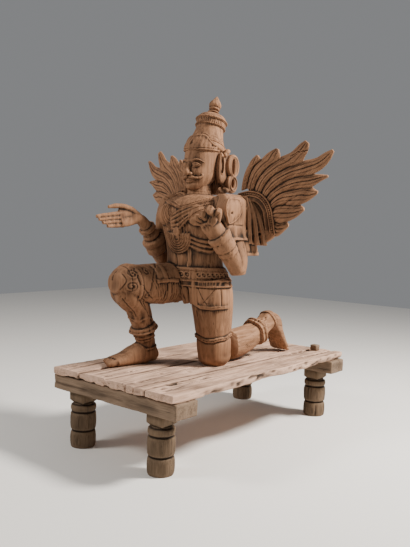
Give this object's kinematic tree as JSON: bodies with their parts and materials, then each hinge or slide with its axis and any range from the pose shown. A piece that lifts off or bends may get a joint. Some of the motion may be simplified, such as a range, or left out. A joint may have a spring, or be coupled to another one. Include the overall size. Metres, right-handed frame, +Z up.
{
  "type": "carved garuda figure on a plank stand",
  "caption": "Winged wooden figure in a tall crown, down on one knee, one hand open and the other forearm broken off, resting on a low plank stand with turned legs",
  "frame": {"origin": "on the ground, below the middle of the wingspan in X and halfway along the stand in Y", "axes": "+Z up; the figure faces -Y, so its own left side is +X; the planks run along Y"},
  "size_m": [1.1706, 1.36, 1.6344],
  "materials": {
    "figure_wood": "bare reddish brown carved wood, worn, with dust and dark hollows",
    "plank_wood": "bare bleached plank wood, weathered, split and worn at the edges",
    "leg_wood": "bare grey brown turned wood, dull and worn"
  },
  "bodies": {
    "root": {"figure": "figure_wood", "left_lower_leg": "figure_wood", "left_wing": "figure_wood", "right_wing": "figure_wood", "plank_1": "plank_wood", "plank_2": "plank_wood", "plank_3": "plank_wood", "plank_4": "plank_wood", "front_bearer": "plank_wood", "rear_bearer": "plank_wood", "leg_front_left": "leg_wood", "leg_front_right": "leg_wood", "leg_rear_left": "leg_wood", "leg_rear_right": "leg_wood", "peg": "plank_wood"}
  },
  "joints": []
}
